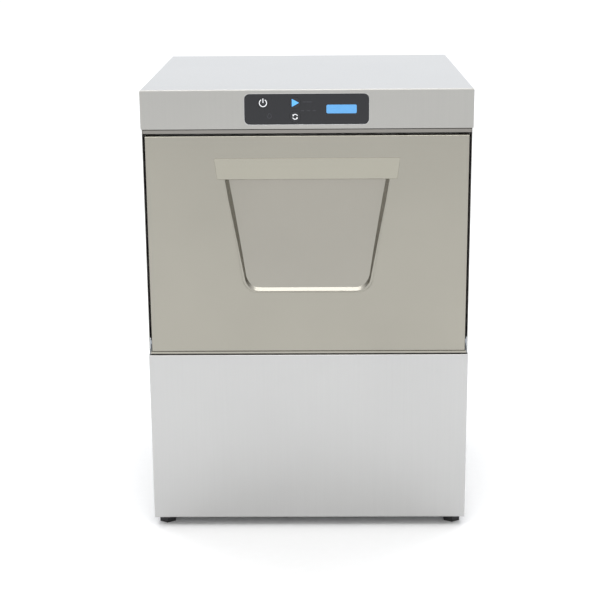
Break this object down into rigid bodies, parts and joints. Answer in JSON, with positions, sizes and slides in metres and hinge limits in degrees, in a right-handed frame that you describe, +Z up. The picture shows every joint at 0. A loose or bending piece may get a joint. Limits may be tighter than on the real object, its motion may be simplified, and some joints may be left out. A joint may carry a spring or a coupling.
{
  "type": "commercial dishwasher",
  "caption": "Undercounter front-loading commercial dishwasher with a bottom-hinged door, pressed finger pocket, rotating wash and rinse arms and a sliding rack.",
  "frame": {"origin": "on the floor under the middle of the body", "axes": "+X to the right seen from the front, +Y back into the machine, +Z up"},
  "size_m": [0.575, 0.59, 0.81],
  "materials": {
    "panel_steel": "fine vertical brushed satin",
    "door_steel": "smooth brushed, slightly warm reflections",
    "chamber_steel": "bright rolled stainless",
    "galvanised_steel": "dull zinc coated",
    "bare_steel": "zinc plated, semi-bright",
    "spring_steel": "oiled spring wire",
    "arm_steel": "polished pressed stainless",
    "filter_steel": "perforated stainless",
    "heater_sheath": "heat-tinted sheath",
    "boiler_steel": "drawn tank, satin",
    "copper_pipe": "drawn copper pipe, lightly oxidised",
    "brass_fitting": "machined brass",
    "overlay_acrylic": "smoked glossy acrylic",
    "key_acrylic": "smoked key cap",
    "lens_blue": "pale blue translucent lens",
    "black_plastic": "moulded black",
    "board_laminate": "lacquered laminate",
    "rack_polypropylene": "moulded polypropylene, blue-grey",
    "grey_plastic": "moulded grey polypropylene",
    "box_plastic": "moulded light grey",
    "motor_paint": "cast, painted grey-blue",
    "seal_rubber": "soft extruded silicone seal",
    "hose_rubber": "moulded rubber hose",
    "foot_plastic": "moulded black nylon"
  },
  "bodies": {
    "cabinet": {"top_cover": "panel_steel", "right_side_panel": "panel_steel", "left_side_panel": "panel_steel", "lower_front_panel": "panel_steel", "back_panel": "galvanised_steel", "base_tray": "galvanised_steel", "upper_front_rail": "panel_steel", "lower_front_rail": "panel_steel", "door_jambs": "panel_steel", "hinge_brackets": "bare_steel", "control_overlay": "overlay_acrylic", "status_lens": "lens_blue", "control_housing": "black_plastic", "control_board": "board_laminate", "spring_brackets": "bare_steel", "wash_tub": "chamber_steel", "door_gasket": "seal_rubber", "rack_rails": "chamber_steel", "lower_spindle": "grey_plastic", "upper_spindle": "grey_plastic", "ceiling_manifold": "grey_plastic", "flat_filters": "filter_steel", "cylinder_filter": "grey_plastic", "overflow_standpipe": "grey_plastic", "tank_heater": "heater_sheath", "pump_volute": "grey_plastic", "pump_motor": "motor_paint", "suction_hose": "hose_rubber", "delivery_hose": "hose_rubber", "wash_riser": "bare_steel", "rinse_riser": "copper_pipe", "rinse_boiler": "boiler_steel", "boiler_heater": "brass_fitting", "drain_pipe": "grey_plastic", "water_inlet_valve": "brass_fitting", "electrical_box": "box_plastic", "dosing_pumps": "box_plastic", "cable_gland": "black_plastic"},
    "door": {"door_outer_skin": "door_steel", "door_inner_panel": "chamber_steel", "finger_pocket": "door_steel", "grip_strip": "door_steel", "door_stiles": "bare_steel", "door_screws": "bare_steel", "door_levers": "bare_steel"},
    "tie_rods": {"tie_rods": "bare_steel", "counter_springs": "spring_steel"},
    "lower_wash_arm": {"lower_wash_arm": "arm_steel"},
    "lower_rinse_arm": {"lower_rinse_arm": "arm_steel"},
    "upper_wash_arm": {"upper_wash_arm": "arm_steel"},
    "upper_rinse_arm": {"upper_rinse_arm": "arm_steel"},
    "dish_rack": {"dish_rack": "rack_polypropylene"},
    "power_key": {"power_key": "key_acrylic"},
    "start_key": {"start_key": "key_acrylic"},
    "cycle_key": {"cycle_key": "key_acrylic"},
    "pump_rotor": {"pump_rotor": "bare_steel"},
    "foot_front_left": {"foot_front_left": "foot_plastic"},
    "foot_front_right": {"foot_front_right": "foot_plastic"},
    "foot_rear_left": {"foot_rear_left": "foot_plastic"},
    "foot_rear_right": {"foot_rear_right": "foot_plastic"}
  },
  "joints": [
    {"name": "door_hinge", "type": "hinge", "parent": "cabinet", "child": "door", "pos_m": [0, -0.2815, 0.3555], "axis": [1, 0, 0], "range_deg": [0, 90], "deforming": ["counter_springs"]},
    {"name": "tie_rod_swing", "type": "hinge", "parent": "door", "child": "tie_rods", "pos_m": [0, -0.2756, 0.32202], "axis": [1, 0, 0], "range_deg": [-102, 0]},
    {"name": "lower_wash_arm_spin", "type": "hinge", "parent": "cabinet", "child": "lower_wash_arm", "pos_m": [0, 0.00625, 0.355], "axis": [0, 0, 1], "continuous": true},
    {"name": "lower_rinse_arm_spin", "type": "hinge", "parent": "cabinet", "child": "lower_rinse_arm", "pos_m": [0, 0.00625, 0.3715], "axis": [0, 0, 1], "continuous": true},
    {"name": "upper_wash_arm_spin", "type": "hinge", "parent": "cabinet", "child": "upper_wash_arm", "pos_m": [0, 0.00625, 0.717], "axis": [0, 0, 1], "continuous": true},
    {"name": "upper_rinse_arm_spin", "type": "hinge", "parent": "cabinet", "child": "upper_rinse_arm", "pos_m": [0, 0.00625, 0.7005], "axis": [0, 0, 1], "continuous": true},
    {"name": "rack_slide", "type": "slide", "parent": "cabinet", "child": "dish_rack", "axis": [0, -1, 0], "range_m": [0, 0.012]},
    {"name": "power_key_press", "type": "slide", "parent": "cabinet", "child": "power_key", "axis": [0, 1, 0], "range_m": [0, 0.0006], "stiffness_N_per_m": 900},
    {"name": "start_key_press", "type": "slide", "parent": "cabinet", "child": "start_key", "axis": [0, 1, 0], "range_m": [0, 0.0006], "stiffness_N_per_m": 900},
    {"name": "cycle_key_press", "type": "slide", "parent": "cabinet", "child": "cycle_key", "axis": [0, 1, 0], "range_m": [0, 0.0006], "stiffness_N_per_m": 900},
    {"name": "pump_shaft_spin", "type": "hinge", "parent": "cabinet", "child": "pump_rotor", "pos_m": [0, 0.02, 0.108], "axis": [1, 0, 0], "continuous": true},
    {"name": "foot_front_left_turn", "type": "hinge", "parent": "cabinet", "child": "foot_front_left", "pos_m": [-0.266, -0.2585, 0.018], "axis": [0, 0, 1], "continuous": true},
    {"name": "foot_front_right_turn", "type": "hinge", "parent": "cabinet", "child": "foot_front_right", "pos_m": [0.266, -0.2585, 0.018], "axis": [0, 0, 1], "continuous": true},
    {"name": "foot_rear_left_turn", "type": "hinge", "parent": "cabinet", "child": "foot_rear_left", "pos_m": [-0.266, 0.232, 0.018], "axis": [0, 0, 1], "continuous": true},
    {"name": "foot_rear_right_turn", "type": "hinge", "parent": "cabinet", "child": "foot_rear_right", "pos_m": [0.266, 0.232, 0.018], "axis": [0, 0, 1], "continuous": true}
  ],
  "couplings": [
    {"joint": "tie_rod_swing", "follows": "door_hinge", "ratio": -1.1161}
  ]
}
